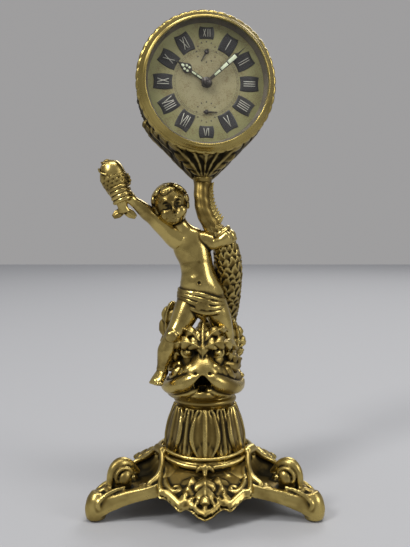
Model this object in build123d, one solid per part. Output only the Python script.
from build123d import *
import os
from math import atan2, cos, degrees, hypot, radians, sin, sqrt

# A gilt figural table clock. A tripod casting, a leafy bell and a plinth with a dolphin's head
# carry a standing child who holds up a fish, and the dolphin's raised tail ends in a leaf cup
# that cradles a wind-up alarm clock in a round case.
# Millimetres, +Z up, front towards -Y, origin on the table under the stem.

# Clearances that every piece shares
OVERRUN = 2.0            # how far a cut runs past the face that it opens
RUNNING_GAP = 0.06       # radial gap of a turning shaft in its hole
SEAT_GAP = 0.04          # radial gap of a piece that is only pushed into its seat
END_SHAKE = 0.3          # gap along a shaft between faces that turn past each other

FLATNESS = 0.0000001      # four corners closer than this to one plane make one face

# Sides that rounds are drawn with: small shafts and holes, barrels and bushes, and the large rounds
SMALL_SIDES = 12
BARREL_SIDES = 24
ROUND_SIDES = 40

# Tripod base
LEG_REACH = 84.0         # stem axis to the front of a toe
LEG_WIDTH = 46.0         # across a leg where it leaves the hub
BASE_HEIGHT = 32.0       # table to the seat of the bell
LEG_EDGE = 5.5           # height of a leg's plain edge under its scrolls
TOE_RADIUS = 6.6
TOE_HEIGHT = 17.0
APRON_REACH = 63.0       # stem axis to the tip of a leafy apron
APRON_WIDTH = 58.0
APRON_LEAF_WIDTH = 10.0
APRON_LEAF_HEIGHT = 3.0
HUB_RADIUS = 29.0
BASE_WALL = 4.5
LEG_COUNT = 3
LEG_BOSS_RADIUS = 6.0
LEG_BOSS_HEIGHT = 5.5    # how far the boss stands over the leg's crest
VOLUTE_RADIUS = 4.2
VOLUTE_WIDTH = 7.0
VOLUTE_SIDES = 8
SWAG_RADIUS = 2.0        # thickness of the band between two volutes, as a radius
SWAG_SAG = 4.5
SWAG_SIDES = 6

# Leafy bell and collar
BELL_FOOT_RADIUS = 27.0
BELL_TOP_RADIUS = 19.0
BELL_HEIGHT = 32.0
BELL_LEAVES = 12
BELL_WALL = 4.0
BELL_CLEARANCE = 0.4     # between the bell's leaves and what stands round its foot
COLLAR_RADIUS = 20.8
COLLAR_HEIGHT = 6.0
STEM_BORE_RADIUS = 2.6

# Tie rod with its washer and nut, under the base and up into the plinth
ROD_RADIUS = 2.5
ROD_GRIP = 9.0           # thread length inside the plinth
ROD_TAIL = 3.0           # rod left below the nut
WASHER_RADIUS = 12.0
WASHER_THICKNESS = 1.6
NUT_ACROSS_CORNERS = 10.4
NUT_THICKNESS = 4.5

# Figure group, in head lengths of the child
HEAD_LENGTH = 25.0       # chin to crown

# Leaf cup
CUP_NECK_RADIUS = 6.4
CUP_NECK_HEIGHT = 15.5   # tail end to the underside of the case
CUP_DEPTH = 27.0         # front to back where it meets the case
CUP_SPREAD = 62.0        # degrees from straight down to each leaf tip
CUP_LIP = 1.4            # thickness of the leaf tips
CUP_SCREW_RADIUS = 2.0
CUP_SCREW_HEAD_RADIUS = 3.6
CUP_SCREW_HEAD_HEIGHT = 2.0
CUP_SCREW_GRIP = 8.0

# Round clock case
DRUM_YAW = 9.0           # degrees that the dial looks towards +X
CASE_RADIUS = 42.0
CASE_WALL = 2.0
CASE_DEPTH = 34.0
CASE_LEAF_HEIGHT = 0.9   # relief of the leaves round the wall
CASE_LEAF_ROWS = 4
CASE_LEAF_MARGIN = 8.0   # degrees between the cup's tips and the nearest leaf
CASE_FRONT = 15.0        # stem axis to the case's front rim
MOTION_GAP = 4.0         # between the dial and the front plate
BEZEL_RADIUS = 44.4
BEZEL_DEPTH = 8.0
BEZEL_RIM_DEPTH = 3.6
BEZEL_LIP_THICKNESS = 1.3
BEZEL_NOTCHES = 44
BEZEL_NOTCH_DEPTH = 0.7
SIGHT_RADIUS = 38.3      # opening of the bezel
GLASS_RADIUS = 39.2
GLASS_THICKNESS = 1.2
GLASS_SAG = 4.6
GLASS_STEP_SHARES = (1.0, 0.7, 0.3)
DIAL_THICKNESS = 0.8
REHAUT_DIAL_RADIUS = 36.6
SECONDS_OFFSET = 18.0    # dial centre down to the seconds hand
ALARM_OFFSET = 18.9      # dial centre up to the alarm hand

# Back cover and its screws
COVER_THICKNESS = 1.2
COVER_SCREW_RADIUS = 1.2
COVER_SCREW_HEAD_RADIUS = 2.3
COVER_SCREW_HEAD_HEIGHT = 1.0
COVER_SCREW_LENGTH = 4.0
COVER_SCREW_CIRCLE = 36.6
COVER_SCREW_COUNT = 3
COVER_LUG_RADIUS = 3.0

# Movement frame
PLATE_THICKNESS = 1.5
PLATE_GAP = 22.5         # between the two plates
PLATE_RADIUS = 39.2
PLATE_SIDES = 12
PILLAR_RADIUS = 2.2
PILLAR_CIRCLE = 33.5
PILLAR_COUNT = 3
ARBOR_RADIUS = 0.9
WHEEL_THICKNESS = 1.0
PINION_LENGTH = 2.2

# Tooth counts of the going train and of the motion work
BARREL_TEETH = 48
CENTRE_PINION_LEAVES = 8
CENTRE_TEETH = 48
THIRD_PINION_LEAVES = 6
THIRD_TEETH = 45
FOURTH_PINION_LEAVES = 6
FOURTH_TEETH = 48
ESCAPE_PINION_LEAVES = 6
ESCAPE_TEETH = 15
CANNON_LEAVES = 12
MINUTE_TEETH = 36
MINUTE_PINION_LEAVES = 10
HOUR_TEETH = 40
ALARM_TEETH = 40
ADDENDUM_SHARE = 0.66
DEDENDUM_SHARE = 1.2

# Wheel sizes of the going train
CENTRE_TO_BARREL = 16.1
CENTRE_TO_THIRD = 16.2
THIRD_TO_FOURTH = 12.75
FOURTH_TO_ESCAPE = 9.72
ESCAPE_WHEEL_RADIUS = 6.9
ESCAPE_TO_PALLET = 9.0
PALLET_TO_BALANCE = 9.9
BARREL_RADIUS = 12.4
BARREL_DEPTH = 9.0
BARREL_ARBOR_RADIUS = 1.6
BALANCE_RADIUS = 8.6
BALANCE_RIM = 1.2
BALANCE_STAFF_RADIUS = 0.7
HAMMER_LENGTH = 10.0
HAMMER_HEAD_RADIUS = 2.0

# Hands
HOUR_HAND_LENGTH = 23.0
MINUTE_HAND_LENGTH = 33.0
SMALL_HAND_LENGTH = 6.4
SMALL_HAND_TAIL = 2.2
SMALL_HAND_WIDTH = 1.0
HAND_THICKNESS = 0.5
HAND_HUB_RADIUS = 3.0
MINUTE_HUB_RADIUS = 2.4
HOUR_HAND_ANGLE = 303.5  # degrees clockwise from twelve
MINUTE_HAND_ANGLE = 47.6
SECONDS_HAND_ANGLE = 90.0
ALARM_HAND_ANGLE = 210.0
CANNON_PIPE_RADIUS = 1.3
HOUR_PIPE_RADIUS = 1.9

# Controls on the back
KEY_HUB_RADIUS = 3.0
KEY_HUB_LENGTH = 7.0
KEY_WING_SPAN = 19.0
KEY_WING_HEIGHT = 8.0
KEY_WING_THICKNESS = 1.6
KEY_TURN = 20.0          # degrees that the keys stand turned from level
KNOB_RADIUS = 4.6
KNOB_LENGTH = 5.0
KNOB_FLUTES = 16
CONTROL_STAND_OFF = 1.5  # gap between the cover and the controls
BUTTON_RADIUS = 2.4
BUTTON_STEM_RADIUS = 1.5
BUTTON_TRAVEL = 2.0

# Heights along the stem
BELL_SEAT = BASE_HEIGHT
COLLAR_SEAT = BELL_SEAT + BELL_HEIGHT
PLINTH_SEAT = COLLAR_SEAT + COLLAR_HEIGHT

# Depths along the clock's own axis, from the stem axis towards the viewer
CASE_BACK = CASE_FRONT - CASE_DEPTH
DIAL_BACK = CASE_FRONT
DIAL_FACE = DIAL_BACK + DIAL_THICKNESS
BEZEL_FRONT = CASE_FRONT + BEZEL_DEPTH
GLASS_FLANGE_FRONT = BEZEL_FRONT - BEZEL_LIP_THICKNESS
GLASS_FLANGE_BACK = GLASS_FLANGE_FRONT - GLASS_THICKNESS
FRONT_PLATE_FACE = DIAL_BACK - MOTION_GAP
FRONT_PLATE_BACK = FRONT_PLATE_FACE - PLATE_THICKNESS
BACK_PLATE_FACE = FRONT_PLATE_BACK - PLATE_GAP
BACK_PLATE_BACK = BACK_PLATE_FACE - PLATE_THICKNESS
COVER_BACK = CASE_BACK - COVER_THICKNESS
CONTROL_FACE = COVER_BACK - CONTROL_STAND_OFF


# Points and sections of the figure group

def figure_point(x_share, y_share, z_share):
    """A place in the figure group, in head lengths from the plinth's seat on the stem axis."""
    return Vector(x_share * HEAD_LENGTH, y_share * HEAD_LENGTH, PLINTH_SEAT + z_share * HEAD_LENGTH)


def stations(shares):
    """Centre points and half widths of a limb's sections from a table of head-length shares."""
    points = [figure_point(x, y, z) for x, y, z, *_ in shares]
    sizes = [(row[3] * HEAD_LENGTH, row[-1] * HEAD_LENGTH) for row in shares]
    return points, sizes


def limb(shares, sides=10, side_axis=(1, 0, 0)):
    """A many-sided body lofted through sections that stand square to its centre line.

    Each row gives x, y, z, the half width along side_axis and, where it differs, the half depth.
    """
    points, sizes = stations(shares)
    return lofted_limb(points, sizes, sides, side_axis)


def many_sided(plane, half_width, half_depth, sides):
    """Corner points of a many-sided oval on a plane."""
    corners = []
    for index in range(sides):
        angle = radians(index * 360 / sides)
        corners.append(plane.from_local_coords(Vector(half_width * cos(angle), half_depth * sin(angle), 0)))
    return corners


def flat_face(corners):
    """A plane face with straight edges through the corners."""
    return Face(Wire.make_polygon(corners))


def skinned(rings):
    """A solid of flat facets between rings of equally many corners, closed by its end rings."""
    faces = [flat_face(rings[0]), flat_face(rings[-1])]
    for near, far in zip(rings, rings[1:]):
        for index in range(len(near)):
            after = (index + 1) % len(near)
            corners = [near[index], near[after], far[after], far[index]]
            normal = (corners[1] - corners[0]).cross(corners[2] - corners[0])
            lift = normal.normalized().dot(corners[3] - corners[0])
            if abs(lift) < FLATNESS:
                faces.append(flat_face(corners))
            else:
                faces.append(flat_face(corners[:3]))
                faces.append(flat_face([corners[0], corners[2], corners[3]]))
    return Part() + Solid(Shell(faces))


def lofted_limb(points, sizes, sides, side_axis):
    """A many-sided body of the given half widths along the points."""
    last = len(points) - 1
    reference = Vector(*side_axis)
    rings = []
    for index, (point, (half_width, half_depth)) in enumerate(zip(points, sizes)):
        along = points[min(index + 1, last)] - points[max(index - 1, 0)]
        along = along.normalized()
        across = (reference - along * reference.dot(along)).normalized()
        plane = Plane(origin=point, x_dir=across, z_dir=along)
        rings.append(many_sided(plane, half_width, half_depth, sides))
    return skinned(rings)


def lofted_stack(rows, sides):
    """A body of level many-sided sections, each given by centre x, y, height and two half widths."""
    return skinned([many_sided(Plane(origin=(x, y, z)), wide, deep, sides) for x, y, z, wide, deep in rows])


def figure_stack(shares, sides):
    """Loft level sections of the figure group from rows of head-length shares."""
    rows = []
    for x, y, z, half_width, half_depth in shares:
        place = figure_point(x, y, z)
        rows.append((place.X, place.Y, place.Z, half_width * HEAD_LENGTH, half_depth * HEAD_LENGTH))
    return lofted_stack(rows, sides)


def mirrored_shares(shares, centre_share):
    """The same table on the other side of an upright plane, with every x about centre_share."""
    return [(2 * centre_share - row[0], *row[1:]) for row in shares]


def turned_rings(outline):
    """A body of revolution drawn with ROUND_SIDES sides, its outline running from pole to pole."""
    levels = [(radius, Plane(origin=(0, 0, height))) for radius, height in outline]
    return skinned([many_sided(plane, radius, radius, ROUND_SIDES) for radius, plane in levels])


def disc(radius, bottom, top):
    """A plain round plate between two levels, about the Z axis."""
    return turned_rings([(radius, bottom), (radius, top)])


def drum(radius, bottom, top):
    """A round block about the Z axis, drawn with fewer sides than a turned piece."""
    return lofted_stack([(0, 0, bottom, radius, radius), (0, 0, top, radius, radius)], BARREL_SIDES)


def rod(radius, bottom, top, place=(0.0, 0.0)):
    """A small shaft, drawn with a few sides, that stays inside its true round."""
    outline = RegularPolygon(radius, SMALL_SIDES)
    return Pos(place[0], place[1], bottom) * extrude(outline, amount=top - bottom)


def bore(radius, bottom, top, place=(0.0, 0.0)):
    """The cut for a small hole, drawn with a few sides, that stays outside its true round."""
    outline = RegularPolygon(radius, SMALL_SIDES, major_radius=False)
    return Pos(place[0], place[1], bottom - OVERRUN) * extrude(outline, amount=top - bottom + 2 * OVERRUN)


def around(shape, count, first_angle):
    """Copies of a shape, evenly spaced round the Z axis."""
    return [Rot(0, 0, first_angle + index * 360 / count) * shape for index in range(count)]


# Stand

LEG_ANGLE = 90           # one leg points back, two point forward to the sides
APRON_ANGLE = -90        # one apron points forward

# Along a leg: reach, half width, crest of the scrolls, sunk field between them and underside, as
# shares of the leg's reach, half of its width and the base height
LEG_SHARES = [
    (0.12, 0.92, 0.97, 0.96, 0.34),
    (0.41, 1.00, 0.97, 0.95, 0.45),
    (0.46, 1.00, 0.95, 0.68, 0.46),
    (0.60, 0.90, 0.88, 0.60, 0.44),
    (0.70, 0.68, 0.77, 0.56, 0.32),
    (0.76, 0.56, 0.71, 0.68, 0.24),
    (0.85, 0.38, 0.60, 0.60, 0.17),
    (0.94, 0.27, 0.46, 0.46, 0.04),
]

# Sections of a leg that have its hollow under them
LEG_HOLLOW_SECTIONS = 5

# Across half a leg, from its edge inwards: share of the half width, share of the way from the
# edge's top up to the crest, and share of the way from the crest down to the field
LEG_ACROSS_SHARES = [
    (1.00, 0.00, 0.00),
    (0.88, 0.75, 0.00),
    (0.76, 1.00, 0.00),
    (0.64, 1.00, 0.10),
    (0.48, 1.00, 1.00),
]

# Up a toe: share of its height, shares of its radius that it leans back and is wide
TOE_SIDES = 8
TOE_SHARES = [
    (0.00, 0.00, 0.80),
    (0.25, 0.00, 1.00),
    (0.75, 0.30, 1.00),
    (1.00, 0.70, 0.70),
]

# The boss on a leg: reach as a share of the leg's, and foot and top levels as shares of the base
# height; its rounded end is a share of its radius
BOSS_REACH_SHARE = 0.72
BOSS_FOOT_SHARE = 0.50
BOSS_TOP_SHARE = 0.75
BOSS_END_SHARE = 0.50
BOSS_SIDES = 8

# Along an apron: reach, half width, top and underside, as shares of the same kind
APRON_SHARES = [
    (0.30, 1.00, 0.97, 0.48),
    (0.52, 1.00, 0.86, 0.42),
    (0.73, 1.00, 0.66, 0.46),
    (0.86, 1.00, 0.46, 0.28),
    (1.00, 0.60, 0.28, 0.12),
]

# The apron's leafy outline from the hub to its tip: reach and half width, as shares
APRON_EDGE_SHARES = [
    (0.30, 1.00),
    (0.72, 1.00),
    (0.78, 0.70),
    (0.87, 0.54),
    (0.84, 0.34),
    (0.91, 0.22),
    (1.00, 0.00),
]

# The leaves that lie on an apron: their angles in degrees, and along each its reach, half width
# and height over the apron's own top
APRON_LEAF_ANGLES = (-22.0, 0.0, 22.0)
APRON_LEAF_SHARES = [
    (0.44, 0.50, 0.40),
    (0.58, 1.00, 1.00),
    (0.70, 0.90, 0.90),
    (0.80, 0.30, 0.20),
]

# Shares of the apron's half width where its back is flat, of the base height where the hub has
# its underside, and of the hub's radius that its inner roof has
APRON_BACK_SHARE = 0.70
HUB_FOOT_SHARE = 0.38
HUB_ROOF_SHARE = 0.60


def leg_section(reach, half_width, crest, field, under):
    """A section of a leg, square to its length: plain edges, two scrolls and a sunk field."""
    edge = under + LEG_EDGE
    half = []
    for width_share, rise_share, sink_share in LEG_ACROSS_SHARES:
        level = edge + (crest - edge) * rise_share
        half.append((half_width * width_share, level - (crest - field) * sink_share))
    far_side = [(half_width, under), *half]
    near_side = [(-y, z) for y, z in reversed(far_side)]
    return [Vector(reach, y, z) for y, z in [*far_side, *near_side]]


def leg_sizes(row):
    """Reach, half width, crest, field and underside of a leg's section, from its row of shares."""
    reach, width, crest, field, under = row
    levels = (BASE_HEIGHT * crest, BASE_HEIGHT * field, BASE_HEIGHT * under)
    return (LEG_REACH * reach, LEG_WIDTH / 2 * width, *levels)


def leg_body():
    """One leg along +X, with its scrolls."""
    return skinned([leg_section(*leg_sizes(row)) for row in LEG_SHARES])


def leg_hollow():
    """The space under a leg, which stops short of its toe."""
    sections = []
    for row in LEG_SHARES[:LEG_HOLLOW_SECTIONS]:
        reach, half_width, _, field, under = leg_sizes(row)
        side = half_width - BASE_WALL
        top = field - BASE_WALL
        foot = under - OVERRUN
        shoulder = min(foot + BASE_WALL, top)
        outline = [(side, foot), (side, shoulder), (side - BASE_WALL, top)]
        outline += [(-y, z) for y, z in reversed(outline)]
        sections.append([Vector(reach, y, z) for y, z in outline])
    return skinned(sections)


def leg_boss():
    """The round boss that stands in a leg's field."""
    centre = LEG_REACH * BOSS_REACH_SHARE
    foot = BASE_HEIGHT * BOSS_FOOT_SHARE
    top = BASE_HEIGHT * BOSS_TOP_SHARE + LEG_BOSS_HEIGHT
    end = LEG_BOSS_RADIUS * BOSS_END_SHARE
    rows = [
        (centre, 0, foot, LEG_BOSS_RADIUS, LEG_BOSS_RADIUS),
        (centre, 0, top - end, LEG_BOSS_RADIUS, LEG_BOSS_RADIUS),
        (centre, 0, top, end, end),
    ]
    return lofted_stack(rows, BOSS_SIDES)


def toe():
    """The rounded knob that a leg stands on."""
    rows = []
    for height_share, lean_share, radius_share in TOE_SHARES:
        centre = LEG_REACH - TOE_RADIUS * (1 + lean_share)
        radius = TOE_RADIUS * radius_share
        rows.append((centre, 0, TOE_HEIGHT * height_share, radius, radius))
    return lofted_stack(rows, TOE_SIDES)


def volute():
    """The rolled end of the scrolls where a leg meets the bell."""
    middle = Vector(HUB_RADIUS + VOLUTE_RADIUS / 2, VOLUTE_WIDTH / 2, BASE_HEIGHT + VOLUTE_RADIUS / 2)
    across = Plane(origin=middle, x_dir=(1, 0, 0), z_dir=(0, -1, 0))
    return across * extrude(RegularPolygon(VOLUTE_RADIUS, VOLUTE_SIDES), amount=VOLUTE_WIDTH)


def swag():
    """The band that droops between two volutes, over the apron along +X."""
    span = 180 / LEG_COUNT
    reach = HUB_RADIUS + VOLUTE_RADIUS / 2
    points = []
    for share in (-1.0, -0.5, 0.0, 0.5, 1.0):
        angle = radians(span * share)
        height = BASE_HEIGHT + VOLUTE_RADIUS / 2 - SWAG_SAG * (1 - share * share)
        points.append(Vector(reach * cos(angle), reach * sin(angle), height))
    return lofted_limb(points, [(SWAG_RADIUS, SWAG_RADIUS)] * len(points), SWAG_SIDES, (0, 0, 1))


def apron_section(reach, half_width, top, under):
    """A section of an apron, square to its length: a flat back with sides that fall away."""
    middle = (top + under) / 2
    half = [(half_width, under), (half_width, middle), (half_width * APRON_BACK_SHARE, top)]
    outline = half + [(-y, z) for y, z in reversed(half)]
    return [Vector(reach, y, z) for y, z in outline]


def apron_top(reach_share):
    """Height of an apron's back at a share of its reach."""
    for near, far in zip(APRON_SHARES, APRON_SHARES[1:]):
        if reach_share <= far[0]:
            part = (reach_share - near[0]) / (far[0] - near[0])
            return BASE_HEIGHT * (near[2] + (far[2] - near[2]) * part)
    return BASE_HEIGHT * APRON_SHARES[-1][2]


def apron_leaf():
    """One leaf that lies on an apron along +X, its spine over its edges."""
    sections = []
    for reach_share, width_share, height_share in APRON_LEAF_SHARES:
        level = apron_top(reach_share)
        half_width = APRON_LEAF_WIDTH / 2 * width_share
        outline = [
            (-half_width, level - APRON_LEAF_HEIGHT),
            (half_width, level - APRON_LEAF_HEIGHT),
            (half_width, level),
            (0, level + APRON_LEAF_HEIGHT * height_share),
            (-half_width, level),
        ]
        sections.append([Vector(APRON_REACH * reach_share, y, z) for y, z in outline])
    return skinned(sections)


def apron():
    """One leafy apron along +X, with its lobed outline and its leaves."""
    sections = []
    for reach_share, width_share, top_share, under_share in APRON_SHARES:
        levels = (BASE_HEIGHT * top_share, BASE_HEIGHT * under_share)
        sections.append(apron_section(APRON_REACH * reach_share, APRON_WIDTH / 2 * width_share, *levels))
    upper = [(APRON_REACH * r, APRON_WIDTH / 2 * w) for r, w in APRON_EDGE_SHARES]
    lower = [(x, -y) for x, y in reversed(upper[:-1])]
    outline = make_face(Polyline(*upper, *lower, close=True))
    plate = skinned(sections) & extrude(outline, amount=BASE_HEIGHT)
    return plate + [Rot(0, 0, angle) * apron_leaf() for angle in APRON_LEAF_ANGLES]


def base_casting():
    """The hollow tripod casting with its three legs, aprons, swags and hub."""
    hub = drum(HUB_RADIUS, BASE_HEIGHT * HUB_FOOT_SHARE, BASE_HEIGHT)
    legs = around(leg_body() + toe() + volute() + leg_boss(), LEG_COUNT, LEG_ANGLE)
    aprons = around(apron(), LEG_COUNT, APRON_ANGLE)
    casting = hub + legs + aprons + around(swag(), LEG_COUNT, APRON_ANGLE)
    well_radius = HUB_RADIUS - BASE_WALL
    roof_radius = HUB_RADIUS * HUB_ROOF_SHARE
    rows = [
        (0, 0, -OVERRUN, well_radius, well_radius),
        (0, 0, BASE_HEIGHT * HUB_FOOT_SHARE, well_radius, well_radius),
        (0, 0, BASE_HEIGHT - BASE_WALL, roof_radius, roof_radius),
    ]
    well = lofted_stack(rows, BARREL_SIDES)
    casting -= [well, *around(leg_hollow(), LEG_COUNT, LEG_ANGLE)]
    casting -= bore(STEM_BORE_RADIUS, 0, BASE_HEIGHT)
    above_seat = drum(BELL_FOOT_RADIUS + BELL_CLEARANCE, BASE_HEIGHT, BASE_HEIGHT + VOLUTE_RADIUS * 3)
    return casting - above_seat


# Distance between the hollow and the leaves' crests, in walls
BELL_HOLLOW_SHARE = 1.6

# Up the bell: height share, radius share of the way from the top radius to the foot radius,
# and how deep the gaps between its leaves are as a share of the radius
BELL_SHARES = [
    (0.00, 1.00, 0.10),
    (0.18, 0.78, 0.09),
    (0.50, 0.56, 0.07),
    (0.80, 0.24, 0.05),
    (1.00, 0.00, 0.03),
]


def bell_pedestal():
    """The bell of upright leaves, hollow inside."""
    sections = []
    for height_share, radius_share, gap_share in BELL_SHARES:
        radius = BELL_TOP_RADIUS + (BELL_FOOT_RADIUS - BELL_TOP_RADIUS) * radius_share
        height = BELL_SEAT + BELL_HEIGHT * height_share
        points = []
        for index in range(2 * BELL_LEAVES):
            angle = radians(-90 + index * 180 / BELL_LEAVES)
            reach = radius * (1 - gap_share * (index % 2))
            points.append(Vector(reach * cos(angle), reach * sin(angle), height))
        sections.append(points)
    foot = BELL_FOOT_RADIUS - BELL_WALL * BELL_HOLLOW_SHARE
    top = BELL_TOP_RADIUS - BELL_WALL * BELL_HOLLOW_SHARE
    rows = [(0, 0, BELL_SEAT - OVERRUN, foot, foot), (0, 0, COLLAR_SEAT - BELL_WALL, top, top)]
    hollow = lofted_stack(rows, BARREL_SIDES)
    return skinned(sections) - hollow - bore(STEM_BORE_RADIUS, BELL_SEAT, COLLAR_SEAT)


def collar_ring():
    """The turned ring between the bell and the plinth, with a bead round its middle."""
    bead = COLLAR_HEIGHT / 2
    neck = COLLAR_RADIUS - bead * 0.8
    ring = turned_rings([
        (neck, COLLAR_SEAT),
        (COLLAR_RADIUS, COLLAR_SEAT + bead * 0.7),
        (COLLAR_RADIUS, COLLAR_SEAT + bead * 1.3),
        (neck, PLINTH_SEAT),
    ])
    return ring - bore(STEM_BORE_RADIUS, COLLAR_SEAT, PLINTH_SEAT)


ROD_BOTTOM = BASE_HEIGHT - BASE_WALL - WASHER_THICKNESS - NUT_THICKNESS - ROD_TAIL


def tie_rod():
    """The threaded rod that pulls base, bell, collar and plinth together."""
    return rod(ROD_RADIUS, ROD_BOTTOM, PLINTH_SEAT + ROD_GRIP)


def rod_washer():
    """The broad washer under the base's hub."""
    top = BASE_HEIGHT - BASE_WALL
    outline = RegularPolygon(WASHER_RADIUS, BARREL_SIDES)
    washer = Pos(0, 0, top - WASHER_THICKNESS) * extrude(outline, amount=WASHER_THICKNESS)
    return washer - bore(STEM_BORE_RADIUS, top - WASHER_THICKNESS, top)


def rod_nut():
    """The hexagon nut on the tie rod."""
    top = BASE_HEIGHT - BASE_WALL - WASHER_THICKNESS
    hexagon = RegularPolygon(NUT_ACROSS_CORNERS / 2, 6)
    nut = Pos(0, 0, top - NUT_THICKNESS) * extrude(hexagon, amount=NUT_THICKNESS)
    return nut - bore(ROD_RADIUS, top - NUT_THICKNESS, top)


# Figure group: every table below is in head lengths, from the plinth's seat on the stem axis

PLINTH_SHARES = [
    (0.00, 0.00, 0.00, 0.74, 0.70),
    (0.00, -0.02, 0.16, 1.02, 0.94),
    (0.00, -0.04, 0.36, 1.11, 1.00),
    (0.00, -0.04, 0.52, 0.94, 0.92),
    (-0.02, -0.06, 0.84, 0.80, 0.84),
    (-0.04, -0.06, 1.20, 0.74, 0.74),
    (-0.04, 0.00, 1.48, 0.54, 0.56),
    (-0.04, 0.06, 1.70, 0.26, 0.30),
]
SNOUT_SHARES = [
    (-0.05, -0.50, 1.08, 0.44, 0.34),
    (-0.06, -0.88, 0.92, 0.36, 0.30),
    (-0.07, -1.14, 0.78, 0.22, 0.20),
]
LIP_SHARES = [
    (-0.14, -1.08, 0.70, 0.12),
    (-0.48, -1.02, 0.46, 0.15),
    (-0.84, -0.74, 0.30, 0.14),
    (-1.06, -0.34, 0.30, 0.10),
]
BROW_SHARES = [
    (-0.10, -0.78, 1.34, 0.09),
    (-0.42, -0.80, 1.42, 0.13),
    (-0.70, -0.58, 1.30, 0.08),
]
EYE_SHARES = [
    (-0.44, -0.66, 1.20, 0.18),
    (-0.46, -0.84, 1.21, 0.17),
    (-0.47, -0.94, 1.22, 0.09),
]
CREST_SHARES = [
    (-0.06, -0.62, 1.36, 0.24, 0.10),
    (-0.06, -0.62, 1.62, 0.26, 0.08),
    (-0.05, -0.46, 1.90, 0.08, 0.04),
]
LEFT_FIN_SHARES = [
    (-0.66, 0.06, 1.10, 0.30, 0.12),
    (-1.00, 0.10, 1.62, 0.22, 0.10),
    (-0.98, 0.12, 2.10, 0.16, 0.07),
    (-0.84, 0.12, 2.38, 0.05, 0.04),
]
RIGHT_FIN_SHARES = [
    (0.60, 0.16, 0.90, 0.26, 0.12),
    (0.82, 0.20, 1.40, 0.20, 0.10),
    (0.74, 0.22, 1.86, 0.06, 0.05),
]
FACE_CENTRE_SHARE = -0.06
FEATURE_SIDES = 8

# The mouth in head lengths: its upper corner, half its width, its height and how deep it runs
MOUTH_FRONT_SHARE = -1.50
MOUTH_TIP_SHARE = 0.62
MOUTH_HALF_WIDTH_SHARE = 0.22
MOUTH_HEIGHT_SHARE = 0.24
MOUTH_DEPTH_SHARE = 0.75


def mouth_cut():
    """The open triangular mouth under the snout."""
    half = HEAD_LENGTH * MOUTH_HALF_WIDTH_SHARE
    drop = HEAD_LENGTH * MOUTH_HEIGHT_SHARE
    tip = figure_point(FACE_CENTRE_SHARE, MOUTH_FRONT_SHARE, MOUTH_TIP_SHARE)
    left = tip + Vector(-half, 0, -drop)
    right = tip + Vector(half, 0, -drop)
    face = make_face(Polyline(tip, left, right, close=True))
    return extrude(face, amount=HEAD_LENGTH * MOUTH_DEPTH_SHARE, dir=(0, 1, 0))


def dolphin_head():
    """The round plinth with the dolphin's head, its lips, brows, crest and fins."""
    head = figure_stack(PLINTH_SHARES, 14)
    head += limb(SNOUT_SHARES, 10)
    head -= mouth_cut()
    for table, side_axis in ((LIP_SHARES, (0, 0, 1)), (BROW_SHARES, (0, 0, 1)), (EYE_SHARES, (1, 0, 0))):
        head += limb(table, FEATURE_SIDES, side_axis)
        head += limb(mirrored_shares(table, FACE_CENTRE_SHARE), FEATURE_SIDES, side_axis)
    head += limb(CREST_SHARES, FEATURE_SIDES)
    head += limb(LEFT_FIN_SHARES, FEATURE_SIDES, (0, 1, 0))
    head += limb(RIGHT_FIN_SHARES, FEATURE_SIDES, (0, 1, 0))
    return head - bore(ROD_RADIUS, PLINTH_SEAT - OVERRUN, PLINTH_SEAT + ROD_GRIP - OVERRUN)


TAIL_SHARES = [
    (0.00, 0.44, 0.96, 0.42),
    (0.20, 0.80, 1.36, 0.44),
    (0.52, 0.84, 1.88, 0.40),
    (0.73, 0.52, 2.42, 0.36),
    (0.76, 0.20, 2.90, 0.34),
    (0.72, -0.04, 3.36, 0.32),
    (0.60, -0.16, 3.78, 0.28),
    (0.42, -0.24, 4.12, 0.225),
    (0.16, -0.26, 4.42, 0.185),
    (-0.03, -0.24, 4.80, 0.16),
    (-0.09, -0.14, 5.26, 0.15),
    (-0.064, 0.00, 5.50, 0.18),
    (-0.064, 0.00, 5.68, 0.25),
]
FIN_SHARES = [
    (0.36, -0.20, 4.34, 0.03, 0.10),
    (0.14, -0.20, 4.72, 0.035, 0.16),
    (0.06, -0.14, 5.00, 0.035, 0.15),
    (0.04, -0.10, 5.30, 0.03, 0.10),
]
TAIL_END = figure_point(*TAIL_SHARES[-1][:3])
TAIL_SIDES = 12

# How many of the tail's rows, from its root, carry scales, and how far a ridge of them stands out
SCALED_ROWS = 9
SCALE_LIFT_SHARE = 0.10


def scaled_rows(shares):
    """The tail's rows with a ridge of scales added in the middle of each stretch."""
    rows = []
    for near, far in zip(shares, shares[1:]):
        middle = [(first + second) / 2 for first, second in zip(near, far)]
        rows += [near, (*middle[:3], middle[3] * (1 + SCALE_LIFT_SHARE))]
    return [*rows, shares[-1]]


def dolphin_tail_body():
    """The scaly body that rises in an S from the head to the cup, ringed by rows of scales."""
    points, sizes = stations(scaled_rows(TAIL_SHARES[:SCALED_ROWS]) + TAIL_SHARES[SCALED_ROWS:])
    return lofted_limb(points, sizes, TAIL_SIDES, (0, 1, 0))


def dorsal_fin():
    """The fin that stands on the upper tail."""
    return limb(FIN_SHARES, 6, (0, 1, 0))


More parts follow.
